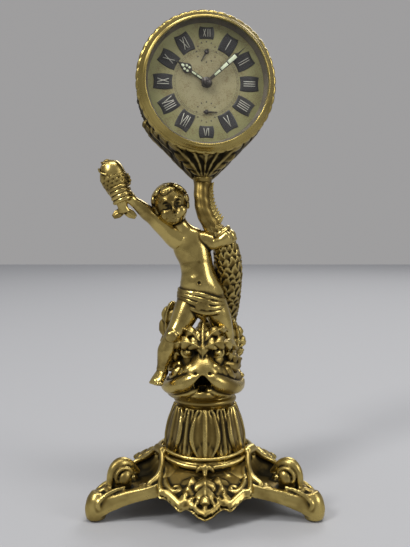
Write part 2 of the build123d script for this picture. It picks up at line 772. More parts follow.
TORSO_SHARES = [
    (-0.08, -0.24, 2.24, 0.46, 0.34),
    (-0.10, -0.26, 2.60, 0.58, 0.40),
    (-0.13, -0.31, 2.98, 0.53, 0.43),
    (-0.18, -0.29, 3.34, 0.47, 0.36),
    (-0.32, -0.27, 3.76, 0.54, 0.37),
    (-0.42, -0.25, 4.08, 0.50, 0.31),
    (-0.56, -0.26, 4.30, 0.26, 0.24),
    (-0.66, -0.30, 4.52, 0.20, 0.20),
]
HEAD_SHARES = [
    (-0.62, -0.46, 4.50, 0.14, 0.16),
    (-0.67, -0.42, 4.64, 0.34, 0.34),
    (-0.74, -0.40, 4.84, 0.42, 0.43),
    (-0.82, -0.38, 5.06, 0.46, 0.48),
    (-0.90, -0.36, 5.28, 0.43, 0.45),
    (-0.94, -0.34, 5.42, 0.29, 0.31),
    (-0.96, -0.33, 5.50, 0.12, 0.13),
]
NOSE_SHARES = [
    (-0.80, -0.80, 5.02, 0.04, 0.04),
    (-0.77, -0.86, 4.92, 0.06, 0.06),
    (-0.75, -0.82, 4.86, 0.05, 0.05),
]
RIGHT_LEG_SHARES = [
    (-0.30, -0.26, 2.56, 0.34),
    (-0.48, -0.40, 2.16, 0.32),
    (-0.70, -0.58, 1.80, 0.27),
    (-0.86, -0.68, 1.58, 0.22),
    (-1.00, -0.70, 1.26, 0.23),
    (-1.14, -0.72, 0.94, 0.16),
    (-1.18, -0.72, 0.76, 0.15),
]
RIGHT_FOOT_SHARES = [
    (-1.12, -0.62, 0.72, 0.13, 0.15),
    (-1.20, -0.76, 0.66, 0.15, 0.15),
    (-1.30, -0.94, 0.54, 0.16, 0.10),
    (-1.36, -1.06, 0.48, 0.12, 0.06),
]
LEFT_LEG_SHARES = [
    (0.16, -0.24, 2.56, 0.34),
    (0.32, -0.28, 2.16, 0.31),
    (0.46, -0.26, 1.80, 0.26),
    (0.54, -0.18, 1.56, 0.22),
    (0.62, 0.06, 1.26, 0.21),
    (0.70, 0.26, 0.92, 0.15),
    (0.72, 0.28, 0.72, 0.14),
]
LEFT_FOOT_SHARES = [
    (0.70, 0.38, 0.68, 0.13, 0.14),
    (0.76, 0.20, 0.60, 0.14, 0.13),
    (0.82, 0.00, 0.52, 0.15, 0.10),
]
LEFT_ARM_SHARES = [
    (-0.20, -0.24, 4.06, 0.24),
    (0.06, -0.30, 4.00, 0.22),
    (0.26, -0.42, 3.92, 0.20),
    (0.38, -0.46, 4.00, 0.19),
]
FIST_SHARES = [
    (0.50, -0.22, 3.98, 0.30),
    (0.44, -0.25, 4.08, 0.35),
    (0.37, -0.27, 4.18, 0.33),
    (0.30, -0.28, 4.25, 0.24),
]
DRAPE_SHARES = [
    (-0.10, -0.26, 2.34, 0.60, 0.43),
    (-0.10, -0.27, 2.50, 0.63, 0.46),
    (-0.11, -0.28, 2.72, 0.60, 0.45),
]
HAIR_SHARES = [
    (-0.76, -0.22, 4.84, 0.36, 0.28),
    (-0.84, -0.24, 5.08, 0.49, 0.42),
    (-0.91, -0.28, 5.32, 0.46, 0.44),
    (-0.95, -0.32, 5.48, 0.26, 0.28),
]


def putto_body():
    """The standing child without the raised arm: torso, head, legs, left arm and hip cloth."""
    body = figure_stack(TORSO_SHARES, 14)
    body += figure_stack(HEAD_SHARES, 14)
    body += figure_stack(HAIR_SHARES, 12)
    body += limb(NOSE_SHARES, 6)
    for table in (RIGHT_LEG_SHARES, LEFT_LEG_SHARES):
        body += limb(table, 10)
    for table in (RIGHT_FOOT_SHARES, LEFT_FOOT_SHARES):
        body += limb(table, 8)
    body += limb(LEFT_ARM_SHARES, 10, (0, 0, 1))
    body += limb(FIST_SHARES, 10, (0, 1, 0))
    return body + figure_stack(DRAPE_SHARES, 14)


RAISED_ARM_SHARES = [
    (-0.70, -0.28, 4.10, 0.27),
    (-0.90, -0.30, 4.24, 0.26),
    (-1.18, -0.36, 4.50, 0.22),
    (-1.46, -0.42, 4.74, 0.20),
    (-1.74, -0.46, 4.98, 0.14),
    (-1.90, -0.47, 5.12, 0.17),
    (-2.06, -0.48, 5.26, 0.21),
    (-2.16, -0.48, 5.34, 0.12),
]
FISH_SHARES = [
    (-2.50, -0.48, 6.06, 0.06, 0.05),
    (-2.44, -0.48, 5.98, 0.22, 0.18),
    (-2.35, -0.48, 5.80, 0.32, 0.25),
    (-2.26, -0.48, 5.54, 0.33, 0.25),
    (-2.17, -0.48, 5.26, 0.25, 0.19),
    (-2.10, -0.48, 4.98, 0.12, 0.10),
    (-2.07, -0.48, 4.84, 0.16, 0.06),
    (-2.05, -0.48, 4.62, 0.30, 0.04),
]


def raised_arm():
    """The child's raised right arm, cast by itself and pinned at the shoulder."""
    return limb(RAISED_ARM_SHARES, 10, (0, 0, 1))


def hand_fish():
    """The fish held upright in the raised hand."""
    return limb(FISH_SHARES, 10)


# The clock, built about its own axis: x to the viewer's right, y up, z towards the viewer

DRUM_CENTRE = TAIL_END + Vector(0, 0, CUP_NECK_HEIGHT + CASE_RADIUS)
CLOCK_PLANE = Plane(
    origin=DRUM_CENTRE,
    x_dir=(cos(radians(DRUM_YAW)), sin(radians(DRUM_YAW)), 0),
    z_dir=(sin(radians(DRUM_YAW)), -cos(radians(DRUM_YAW)), 0),
)


def clock_polar(radius, clock_angle):
    """A point of the dial plane at an angle clockwise from twelve."""
    return radius * sin(radians(clock_angle)), radius * cos(radians(clock_angle))


def leaf_cup():
    """The cup of leaves that grows out of the tail and hugs the lower case."""
    foot = -(CASE_RADIUS + CUP_NECK_HEIGHT)
    tip_x, tip_y = clock_polar(CASE_RADIUS, 180 - CUP_SPREAD)
    edge_x, edge_y = clock_polar(CASE_RADIUS + CUP_LIP, 180 - CUP_SPREAD)
    waist = (CUP_NECK_RADIUS * 2.9, -CASE_RADIUS - CUP_NECK_HEIGHT * 0.06)
    right = ThreePointArc((CUP_NECK_RADIUS, foot), waist, (edge_x, edge_y))
    outline = [
        Line((-CUP_NECK_RADIUS, foot), (CUP_NECK_RADIUS, foot)),
        right,
        Line((edge_x, edge_y), (tip_x, tip_y)),
        ThreePointArc((tip_x, tip_y), (0, -CASE_RADIUS), (-tip_x, tip_y)),
        Line((-tip_x, tip_y), (-edge_x, edge_y)),
        ThreePointArc((-edge_x, edge_y), (-waist[0], waist[1]), (-CUP_NECK_RADIUS, foot)),
    ]
    slab = Pos(0, 0, -CUP_DEPTH / 2) * extrude(make_face(outline), amount=CUP_DEPTH)
    side = [
        (-CUP_NECK_RADIUS, foot),
        (CUP_NECK_RADIUS, foot),
        (CUP_DEPTH / 2, -CASE_RADIUS),
        (CUP_DEPTH / 2, 0),
        (-CUP_DEPTH / 2, 0),
        (-CUP_DEPTH / 2, -CASE_RADIUS),
    ]
    flank = make_face(Polyline(*[(0, y, z) for z, y in side], close=True))
    taper = Pos(-CASE_RADIUS, 0, 0) * extrude(flank, amount=2 * CASE_RADIUS, dir=(1, 0, 0))
    shank = screw_bore(CUP_SCREW_RADIUS, foot - OVERRUN, -CASE_RADIUS + OVERRUN)
    return (slab & taper) - shank


def screw_rod(radius, low, high):
    """A small rod along the clock's own upright, between two heights."""
    upright = Plane(origin=(0, low, 0), x_dir=(1, 0, 0), z_dir=(0, 1, 0))
    return upright * extrude(RegularPolygon(radius, SMALL_SIDES), amount=high - low)


def screw_bore(radius, low, high):
    """The cut for a small hole along the clock's own upright, between two heights."""
    upright = Plane(origin=(0, low, 0), x_dir=(1, 0, 0), z_dir=(0, 1, 0))
    return upright * extrude(RegularPolygon(radius, SMALL_SIDES, major_radius=False), amount=high - low)


def cup_screw():
    """The screw from inside the case, through the cup, into the tail."""
    flat_radius = (CASE_RADIUS - CASE_WALL) * cos(radians(180 / ROUND_SIDES))
    seat = -sqrt(flat_radius**2 - CUP_SCREW_HEAD_RADIUS**2)
    foot = -(CASE_RADIUS + CUP_NECK_HEIGHT) - CUP_SCREW_GRIP
    screw = screw_rod(CUP_SCREW_RADIUS, foot, seat)
    return screw + screw_rod(CUP_SCREW_HEAD_RADIUS, seat, seat + CUP_SCREW_HEAD_HEIGHT)


def cover_screw_places():
    """Centres of the back cover's screws."""
    step = 360 / COVER_SCREW_COUNT
    return [clock_polar(COVER_SCREW_CIRCLE, step * (index + 0.5)) for index in range(COVER_SCREW_COUNT)]


def leafy_wall():
    """The case's outer round, with rows of leaf tips over it wherever the cup doesn't hug it."""
    rings = []
    for row in range(CASE_LEAF_ROWS + 1):
        height = CASE_BACK + CASE_DEPTH * row / CASE_LEAF_ROWS
        corners = many_sided(Plane(origin=(0, 0, height)), CASE_RADIUS, CASE_RADIUS, ROUND_SIDES)
        if 0 < row < CASE_LEAF_ROWS:
            for index, corner in enumerate(corners):
                from_below = abs((index * 360 / ROUND_SIDES + 90) % 360)
                clear = CUP_SPREAD + CASE_LEAF_MARGIN < from_below < 360 - CUP_SPREAD - CASE_LEAF_MARGIN
                if clear and (index + row) % 2:
                    stretch = 1 + CASE_LEAF_HEIGHT / CASE_RADIUS
                    corners[index] = Vector(corner.X * stretch, corner.Y * stretch, height)
        rings.append(corners)
    return skinned(rings)


def drum_case():
    """The round case: an open tube whose front rim carries the dial."""
    inner = CASE_RADIUS - CASE_WALL
    case = leafy_wall() - disc(inner, CASE_BACK - OVERRUN, CASE_FRONT + OVERRUN)
    for x, y in cover_screw_places():
        lug = rod(COVER_LUG_RADIUS, CASE_BACK, CASE_BACK + COVER_SCREW_LENGTH, (x, y))
        lug += Rot(0, 0, direction(CENTRE, (x, y))) * Pos(hypot(x, y) + CASE_WALL, 0, CASE_BACK) * extrude(
            Rectangle(2 * CASE_WALL, COVER_LUG_RADIUS), amount=COVER_SCREW_LENGTH
        )
        lug &= disc(inner + CASE_WALL / 2, CASE_BACK, CASE_BACK + COVER_SCREW_LENGTH)
        case += lug
    for x, y in cover_screw_places():
        case -= bore(COVER_SCREW_RADIUS, CASE_BACK, CASE_BACK + COVER_SCREW_LENGTH, (x, y))
    return case - screw_bore(CUP_SCREW_RADIUS, -CASE_RADIUS - OVERRUN, -inner + OVERRUN)


def bezel():
    """The sloping bezel with its notched outer rim and the lip that holds the glass."""
    points = []
    for index in range(2 * BEZEL_NOTCHES):
        angle = radians(index * 180 / BEZEL_NOTCHES)
        reach = BEZEL_RADIUS - BEZEL_NOTCH_DEPTH * (index % 2)
        points.append((reach * cos(angle), reach * sin(angle)))
    rim = Pos(0, 0, CASE_FRONT) * extrude(make_face(Polyline(*points, close=True)), amount=BEZEL_RIM_DEPTH)
    slope_foot = CASE_FRONT + BEZEL_RIM_DEPTH
    slope = turned_rings([
        (BEZEL_RADIUS - 2 * BEZEL_NOTCH_DEPTH, slope_foot),
        (SIGHT_RADIUS + BEZEL_LIP_THICKNESS, BEZEL_FRONT),
    ])
    seat = disc(GLASS_RADIUS + SEAT_GAP, CASE_FRONT - OVERRUN, GLASS_FLANGE_FRONT)
    return rim + slope - seat - disc(SIGHT_RADIUS, CASE_FRONT, BEZEL_FRONT + OVERRUN)


def dome_height(radius, foot, crown, reach):
    """Height at a reach from the axis of a shallow spherical dome of the given foot and crown."""
    rise = crown - foot
    sphere = (radius**2 + rise**2) / (2 * rise)
    return crown - sphere + sqrt(sphere**2 - reach**2)


def glass_dome(edge, foot, crown):
    """A shallow dome of glass with straight steps, closed below."""
    rings = [(edge * share, dome_height(edge, foot, crown, edge * share)) for share in GLASS_STEP_SHARES]
    return turned_rings([(edge, foot - OVERRUN), *rings])


def crystal():
    """The domed glass, with the edge that the bezel's lip holds."""
    edge = SIGHT_RADIUS - SEAT_GAP
    crown = GLASS_FLANGE_FRONT + GLASS_SAG
    glass = glass_dome(edge, GLASS_FLANGE_FRONT, crown)
    glass &= disc(GLASS_RADIUS, GLASS_FLANGE_BACK, crown + OVERRUN)
    glass += turned_rings([(GLASS_RADIUS, GLASS_FLANGE_BACK), (GLASS_RADIUS, GLASS_FLANGE_FRONT)])
    inner = edge - GLASS_THICKNESS
    return glass - glass_dome(inner, GLASS_FLANGE_BACK, crown - GLASS_THICKNESS)


def rehaut_ring():
    """The sloping ring between the dial and the glass."""
    outer = GLASS_RADIUS - SEAT_GAP
    ring = turned_rings([(outer, DIAL_FACE), (outer, GLASS_FLANGE_BACK)])
    slope = (SIGHT_RADIUS - REHAUT_DIAL_RADIUS) / (GLASS_FLANGE_BACK - DIAL_FACE)
    cone = turned_rings([
        (REHAUT_DIAL_RADIUS - slope * OVERRUN, DIAL_FACE - OVERRUN),
        (SIGHT_RADIUS + slope * OVERRUN, GLASS_FLANGE_BACK + OVERRUN),
    ])
    return ring - cone


def dial_plate():
    """The dial with the holes for its hands."""
    dial = disc(GLASS_RADIUS - SEAT_GAP, DIAL_BACK, DIAL_FACE)
    dial -= bore(HOUR_PIPE_RADIUS + END_SHAKE, DIAL_BACK, DIAL_FACE)
    for height in (ALARM_OFFSET, -SECONDS_OFFSET):
        dial -= bore(ARBOR_RADIUS + END_SHAKE, DIAL_BACK, DIAL_FACE, (0, height))
    return dial


# Levels of the hands
SMALL_HAND_LEVEL = DIAL_FACE + 0.35
HOUR_HAND_LEVEL = DIAL_FACE + 1.35
MINUTE_HAND_LEVEL = HOUR_HAND_LEVEL + HAND_THICKNESS + END_SHAKE
HAND_NUT_HEIGHT = 1.4

# Hand outlines from the hub to the tip: share of the length and half width as a share of the
# hub radius
HOUR_HAND_SHARES = [(0.10, 0.36), (0.34, 0.24), (0.42, 0.66), (0.62, 0.80), (0.80, 0.40), (1.00, 0.05)]
MINUTE_HAND_SHARES = [(0.08, 0.34), (0.30, 0.26), (0.46, 0.42), (0.82, 0.42), (0.88, 0.12), (1.00, 0.05)]


def hand(length, shares, hub_radius, pipe_radius, level, clock_angle):
    """A flat hand with a round hub, pointing at an angle clockwise from twelve."""
    right = [(hub_radius * width, length * along) for along, width in shares]
    left = [(-x, y) for x, y in reversed(right)]
    blade = make_face(Polyline((hub_radius * 0.3, 0), *right, *left, (-hub_radius * 0.3, 0), close=True))
    flat = blade + RegularPolygon(hub_radius, SMALL_SIDES)
    flat -= RegularPolygon(pipe_radius, SMALL_SIDES, major_radius=False)
    return Rot(0, 0, -clock_angle) * Pos(0, 0, level) * extrude(flat, amount=HAND_THICKNESS)


def hour_hand():
    """The broad hour hand."""
    sizes = (HOUR_HAND_LENGTH, HOUR_HAND_SHARES, HAND_HUB_RADIUS, HOUR_PIPE_RADIUS)
    return hand(*sizes, HOUR_HAND_LEVEL, HOUR_HAND_ANGLE)


def minute_hand():
    """The long minute hand."""
    sizes = (MINUTE_HAND_LENGTH, MINUTE_HAND_SHARES, MINUTE_HUB_RADIUS, CANNON_PIPE_RADIUS)
    return hand(*sizes, MINUTE_HAND_LEVEL, MINUTE_HAND_ANGLE)


def small_hand(offset, clock_angle):
    """A small tapered hand on an arbor above or below the centre."""
    root = SMALL_HAND_WIDTH / 2
    tip = root / 2
    near_end = [(-root, -SMALL_HAND_TAIL), (root, -SMALL_HAND_TAIL)]
    outline = [*near_end, (tip, SMALL_HAND_LENGTH), (-tip, SMALL_HAND_LENGTH)]
    flat = make_face(Polyline(*outline, close=True)) + RegularPolygon(ARBOR_RADIUS * 1.5, SMALL_SIDES)
    flat -= RegularPolygon(ARBOR_RADIUS, SMALL_SIDES, major_radius=False)
    turned_flat = Rot(0, 0, -clock_angle) * extrude(flat, amount=HAND_THICKNESS)
    return Pos(0, offset, SMALL_HAND_LEVEL) * turned_flat


def minute_nut():
    """The small round nut that holds the minute hand."""
    bottom = MINUTE_HAND_LEVEL + HAND_THICKNESS
    nut = rod(HAND_HUB_RADIUS * 0.6, bottom, bottom + HAND_NUT_HEIGHT)
    return nut - bore(ARBOR_RADIUS, bottom, bottom + HAND_NUT_HEIGHT)


# Places of the arbors, seen from the front

def crossing(first, first_radius, second, second_radius, side):
    """The point at the given distances from two others, on the chosen side of their line."""
    dx, dy = second[0] - first[0], second[1] - first[1]
    span = hypot(dx, dy)
    along = (first_radius**2 - second_radius**2 + span**2) / (2 * span)
    off = side * sqrt(first_radius**2 - along**2)
    return first[0] + (dx * along - dy * off) / span, first[1] + (dy * along + dx * off) / span


def polar_from(start, distance, angle):
    """A point at a distance and an angle, counter-clockwise from +X, from another."""
    return start[0] + distance * cos(radians(angle)), start[1] + distance * sin(radians(angle))


CENTRE = (0.0, 0.0)
SECONDS = (0.0, -SECONDS_OFFSET)
ALARM = (0.0, ALARM_OFFSET)
THIRD = crossing(CENTRE, CENTRE_TO_THIRD, SECONDS, THIRD_TO_FOURTH, 1)
ESCAPE = polar_from(SECONDS, FOURTH_TO_ESCAPE, 165)
PALLET = polar_from(ESCAPE, ESCAPE_TO_PALLET, 206)
BALANCE = polar_from(PALLET, PALLET_TO_BALANCE, 139)
TIME_BARREL = polar_from(CENTRE, CENTRE_TO_BARREL, 26)
ALARM_BARREL = polar_from(CENTRE, CENTRE_TO_BARREL, 154)
HAMMER = (-21.0, 24.0)
STOP_BUTTON = (13.0, 26.0)
TOOTH_PITCH_RADIUS = ALARM_OFFSET / (HOUR_TEETH + ALARM_TEETH)
MINUTE_ARBOR = polar_from(CENTRE, TOOTH_PITCH_RADIUS * (HOUR_TEETH + MINUTE_PINION_LEAVES), 180)
MOTION_DISTANCE = hypot(*MINUTE_ARBOR)


def direction(start, end):
    """The angle from one point to another, counter-clockwise from +X."""
    return degrees(atan2(end[1] - start[1], end[0] - start[0]))


def toothed_face(teeth, pitch_radius, phase):
    """A wheel's outline with pointed teeth, one of them centred on the phase angle."""
    module = 2 * pitch_radius / teeth
    tip = pitch_radius + ADDENDUM_SHARE * module
    root = pitch_radius - DEDENDUM_SHARE * module
    points = []
    for index in range(2 * teeth):
        angle = radians(phase + index * 180 / teeth)
        reach = root if index % 2 else tip
        points.append((reach * cos(angle), reach * sin(angle)))
    return make_face(Polyline(*points, close=True))


def toothed_wheel(place, teeth, pitch_radius, phase, bottom, thickness):
    """A toothed wheel or pinion at a place of the movement."""
    wheel = extrude(toothed_face(teeth, pitch_radius, phase), amount=thickness)
    return Pos(place[0], place[1], bottom) * wheel


def driver_radius(distance, teeth, leaves):
    """Pitch radius of the wheel in a pair that stands the given distance apart."""
    return distance * teeth / (teeth + leaves)


def gap_phase(own_place, other_place, teeth):
    """The phase that turns a gap between teeth towards the other wheel."""
    return direction(own_place, other_place) + 180 / teeth


# Levels of the train, from the back plate forward
BARREL_BOTTOM = BACK_PLATE_FACE + END_SHAKE
GREAT_WHEEL_LEVEL = BARREL_BOTTOM + BARREL_DEPTH
CENTRE_WHEEL_LEVEL = GREAT_WHEEL_LEVEL + 2 * WHEEL_THICKNESS + END_SHAKE
THIRD_WHEEL_LEVEL = CENTRE_WHEEL_LEVEL + WHEEL_THICKNESS + 2.0
FOURTH_WHEEL_LEVEL = THIRD_WHEEL_LEVEL + WHEEL_THICKNESS + 1.5
ESCAPE_WHEEL_LEVEL = THIRD_WHEEL_LEVEL - WHEEL_THICKNESS / 2
BALANCE_LEVEL = ESCAPE_WHEEL_LEVEL + WHEEL_THICKNESS + 1.2
MINUTE_WHEEL_LEVEL = FRONT_PLATE_FACE + 0.5
HOUR_WHEEL_LEVEL = MINUTE_WHEEL_LEVEL + 1.4
MOTION_THICKNESS = 0.8


def inner_arbor(place, radius):
    """A shaft between the plates, with its end shake at both ends."""
    return rod(radius, BACK_PLATE_FACE + END_SHAKE, FRONT_PLATE_BACK - END_SHAKE, place)


def pinion_below(level):
    """Bottom of a pinion that meshes with the wheel at a level."""
    return level - (PINION_LENGTH - WHEEL_THICKNESS) / 2


def barrel_drum(place, top):
    """The drum of a barrel, drawn with a few sides."""
    outline = RegularPolygon(BARREL_RADIUS, BARREL_SIDES)
    return Pos(place[0], place[1], BARREL_BOTTOM) * extrude(outline, amount=top - BARREL_BOTTOM)


def time_barrel():
    """The mainspring barrel with its great wheel, loose on its arbor."""
    pitch = driver_radius(CENTRE_TO_BARREL, BARREL_TEETH, CENTRE_PINION_LEAVES)
    phase = direction(TIME_BARREL, CENTRE)
    barrel = barrel_drum(TIME_BARREL, GREAT_WHEEL_LEVEL)
    barrel += toothed_wheel(TIME_BARREL, BARREL_TEETH, pitch, phase, GREAT_WHEEL_LEVEL, WHEEL_THICKNESS)
    return barrel - bore(BARREL_ARBOR_RADIUS + RUNNING_GAP, BARREL_BOTTOM, GREAT_WHEEL_LEVEL, TIME_BARREL)


def alarm_barrel():
    """The alarm's mainspring barrel, loose on its arbor."""
    barrel = barrel_drum(ALARM_BARREL, GREAT_WHEEL_LEVEL + WHEEL_THICKNESS)
    return barrel - bore(BARREL_ARBOR_RADIUS + RUNNING_GAP, BARREL_BOTTOM, GREAT_WHEEL_LEVEL, ALARM_BARREL)


def winding_arbor(place):
    """The barrel's arbor, out through the back plate and the cover to its key."""
    shoulder = GREAT_WHEEL_LEVEL + WHEEL_THICKNESS + END_SHAKE
    arbor = rod(BARREL_ARBOR_RADIUS, CONTROL_FACE - KEY_HUB_LENGTH / 2, shoulder, place)
    return arbor + rod(ARBOR_RADIUS, shoulder, FRONT_PLATE_BACK - END_SHAKE, place)


def centre_wheel():
    """The centre wheel and pinion, held on the centre arbor by friction only."""
    wheel_pitch = driver_radius(CENTRE_TO_THIRD, CENTRE_TEETH, THIRD_PINION_LEAVES)
    pinion_pitch = CENTRE_TO_BARREL - driver_radius(CENTRE_TO_BARREL, BARREL_TEETH, CENTRE_PINION_LEAVES)
    first_tooth = direction(CENTRE, THIRD)
    wheel = toothed_wheel(CENTRE, CENTRE_TEETH, wheel_pitch, first_tooth, CENTRE_WHEEL_LEVEL, WHEEL_THICKNESS)
    bottom = pinion_below(GREAT_WHEEL_LEVEL)
    phase = gap_phase(CENTRE, TIME_BARREL, CENTRE_PINION_LEAVES)
    length = CENTRE_WHEEL_LEVEL - bottom
    wheel += toothed_wheel(CENTRE, CENTRE_PINION_LEAVES, pinion_pitch, phase, bottom, length)
    return wheel - bore(ARBOR_RADIUS + RUNNING_GAP, bottom, CENTRE_WHEEL_LEVEL + WHEEL_THICKNESS)


def third_wheel():
    """The third wheel and its pinion on one arbor."""
    pitch = driver_radius(THIRD_TO_FOURTH, THIRD_TEETH, FOURTH_PINION_LEAVES)
    pinion_pitch = CENTRE_TO_THIRD - driver_radius(CENTRE_TO_THIRD, CENTRE_TEETH, THIRD_PINION_LEAVES)
    first_tooth = direction(THIRD, SECONDS)
    wheel = toothed_wheel(THIRD, THIRD_TEETH, pitch, first_tooth, THIRD_WHEEL_LEVEL, WHEEL_THICKNESS)
    phase = gap_phase(THIRD, CENTRE, THIRD_PINION_LEAVES)
    bottom = pinion_below(CENTRE_WHEEL_LEVEL)
    wheel += toothed_wheel(THIRD, THIRD_PINION_LEAVES, pinion_pitch, phase, bottom, PINION_LENGTH)
    return wheel + inner_arbor(THIRD, ARBOR_RADIUS)


def fourth_wheel():
    """The fourth wheel, whose arbor carries the seconds hand."""
    pitch = driver_radius(FOURTH_TO_ESCAPE, FOURTH_TEETH, ESCAPE_PINION_LEAVES)
    pinion_pitch = THIRD_TO_FOURTH - driver_radius(THIRD_TO_FOURTH, THIRD_TEETH, FOURTH_PINION_LEAVES)
    first_tooth = direction(SECONDS, ESCAPE)
    wheel = toothed_wheel(SECONDS, FOURTH_TEETH, pitch, first_tooth, FOURTH_WHEEL_LEVEL, WHEEL_THICKNESS)
    phase = gap_phase(SECONDS, THIRD, FOURTH_PINION_LEAVES)
    bottom = pinion_below(THIRD_WHEEL_LEVEL)
    wheel += toothed_wheel(SECONDS, FOURTH_PINION_LEAVES, pinion_pitch, phase, bottom, PINION_LENGTH)
    arbor = rod(ARBOR_RADIUS, BACK_PLATE_FACE + END_SHAKE, SMALL_HAND_LEVEL + HAND_THICKNESS, SECONDS)
    return wheel + arbor


def escape_wheel():
    """The escape wheel and its pinion."""
    wheel = toothed_wheel(ESCAPE, ESCAPE_TEETH, ESCAPE_WHEEL_RADIUS, 0, ESCAPE_WHEEL_LEVEL, WHEEL_THICKNESS)
    pinion_pitch = FOURTH_TO_ESCAPE - driver_radius(FOURTH_TO_ESCAPE, FOURTH_TEETH, ESCAPE_PINION_LEAVES)
    phase = gap_phase(ESCAPE, SECONDS, ESCAPE_PINION_LEAVES)
    bottom = pinion_below(FOURTH_WHEEL_LEVEL)
    wheel += toothed_wheel(ESCAPE, ESCAPE_PINION_LEAVES, pinion_pitch, phase, bottom, PINION_LENGTH)
    return wheel + inner_arbor(ESCAPE, ARBOR_RADIUS * 0.8)


def pallet_lever():
    """The lever between the escape wheel and the balance."""
    towards_wheel = direction(PALLET, ESCAPE)
    towards_balance = direction(PALLET, BALANCE)
    body = RegularPolygon(ARBOR_RADIUS * 1.6, SMALL_SIDES)
    arm_length = PALLET_TO_BALANCE * 0.62
    body += Rot(0, 0, towards_balance) * Pos(arm_length / 2, 0) * Rectangle(arm_length, ARBOR_RADIUS)
    body += Rot(0, 0, towards_wheel + 90) * Rectangle(ESCAPE_WHEEL_RADIUS, ARBOR_RADIUS)
    lever = Pos(PALLET[0], PALLET[1], ESCAPE_WHEEL_LEVEL) * extrude(body, amount=WHEEL_THICKNESS)
    return lever + inner_arbor(PALLET, ARBOR_RADIUS * 0.8)


def balance_wheel():
    """The balance: a rim on two arms, with its staff."""
    rim = RegularPolygon(BALANCE_RADIUS, BARREL_SIDES)
    rim -= RegularPolygon(BALANCE_RADIUS - BALANCE_RIM, BARREL_SIDES)
    rim += Rectangle(2 * BALANCE_RADIUS - BALANCE_RIM, BALANCE_RIM)
    wheel = Pos(BALANCE[0], BALANCE[1], BALANCE_LEVEL) * extrude(rim, amount=WHEEL_THICKNESS)
    return wheel + inner_arbor(BALANCE, BALANCE_STAFF_RADIUS)


def centre_arbor():
    """The long arbor from the set knob through the movement to the minute hand."""
    top = MINUTE_HAND_LEVEL + HAND_THICKNESS + HAND_NUT_HEIGHT
    return rod(ARBOR_RADIUS, CONTROL_FACE - KNOB_LENGTH / 2, top)


def cannon_pinion():
    """The cannon pinion whose pipe carries the minute hand."""
    pitch = MOTION_DISTANCE * CANNON_LEAVES / (CANNON_LEAVES + MINUTE_TEETH)
    phase = gap_phase(CENTRE, MINUTE_ARBOR, CANNON_LEAVES)
    pinion = toothed_wheel(CENTRE, CANNON_LEAVES, pitch, phase, MINUTE_WHEEL_LEVEL, MOTION_THICKNESS)
    pinion += rod(CANNON_PIPE_RADIUS, MINUTE_WHEEL_LEVEL, MINUTE_HAND_LEVEL + HAND_THICKNESS)
    return pinion - bore(ARBOR_RADIUS, MINUTE_WHEEL_LEVEL, MINUTE_HAND_LEVEL + HAND_THICKNESS)


def minute_wheel():
    """The minute wheel and pinion on their post."""
    pitch = MOTION_DISTANCE * MINUTE_TEETH / (CANNON_LEAVES + MINUTE_TEETH)
    pinion_pitch = MOTION_DISTANCE * MINUTE_PINION_LEAVES / (HOUR_TEETH + MINUTE_PINION_LEAVES)
    towards = direction(MINUTE_ARBOR, CENTRE)
    wheel = toothed_wheel(MINUTE_ARBOR, MINUTE_TEETH, pitch, towards, MINUTE_WHEEL_LEVEL, MOTION_THICKNESS)
    top = HOUR_WHEEL_LEVEL + MOTION_THICKNESS
    phase = gap_phase(MINUTE_ARBOR, CENTRE, MINUTE_PINION_LEAVES)
    wheel += toothed_wheel(
        MINUTE_ARBOR, MINUTE_PINION_LEAVES, pinion_pitch, phase, MINUTE_WHEEL_LEVEL, top - MINUTE_WHEEL_LEVEL
    )
    return wheel - bore(ARBOR_RADIUS + RUNNING_GAP, MINUTE_WHEEL_LEVEL, top, MINUTE_ARBOR)


def hour_wheel():
    """The hour wheel, whose pipe carries the hour hand."""
    pitch = MOTION_DISTANCE * HOUR_TEETH / (HOUR_TEETH + MINUTE_PINION_LEAVES)
    towards = direction(CENTRE, MINUTE_ARBOR)
    wheel = toothed_wheel(CENTRE, HOUR_TEETH, pitch, towards, HOUR_WHEEL_LEVEL, MOTION_THICKNESS)
    wheel += rod(HOUR_PIPE_RADIUS, HOUR_WHEEL_LEVEL, HOUR_HAND_LEVEL + HAND_THICKNESS)
    pipe_top = HOUR_HAND_LEVEL + HAND_THICKNESS
    return wheel - bore(CANNON_PIPE_RADIUS + RUNNING_GAP, HOUR_WHEEL_LEVEL, pipe_top)


def alarm_wheel():
    """The alarm wheel, driven by the hour wheel and loose on the alarm arbor."""
    pitch = ALARM_OFFSET * ALARM_TEETH / (HOUR_TEETH + ALARM_TEETH)
    phase = gap_phase(ALARM, CENTRE, ALARM_TEETH)
    wheel = toothed_wheel(ALARM, ALARM_TEETH, pitch, phase, HOUR_WHEEL_LEVEL, MOTION_THICKNESS)
    top = HOUR_WHEEL_LEVEL + MOTION_THICKNESS
    return wheel - bore(ARBOR_RADIUS + RUNNING_GAP, HOUR_WHEEL_LEVEL, top, ALARM)


def alarm_arbor():
    """The arbor from the alarm knob to the alarm hand."""
    arbor = rod(ARBOR_RADIUS, CONTROL_FACE - KNOB_LENGTH / 2, SMALL_HAND_LEVEL + HAND_THICKNESS, ALARM)
    cam_bottom = FRONT_PLATE_BACK - END_SHAKE - WHEEL_THICKNESS
    return arbor + rod(ARBOR_RADIUS * 3, cam_bottom, cam_bottom + WHEEL_THICKNESS, ALARM)


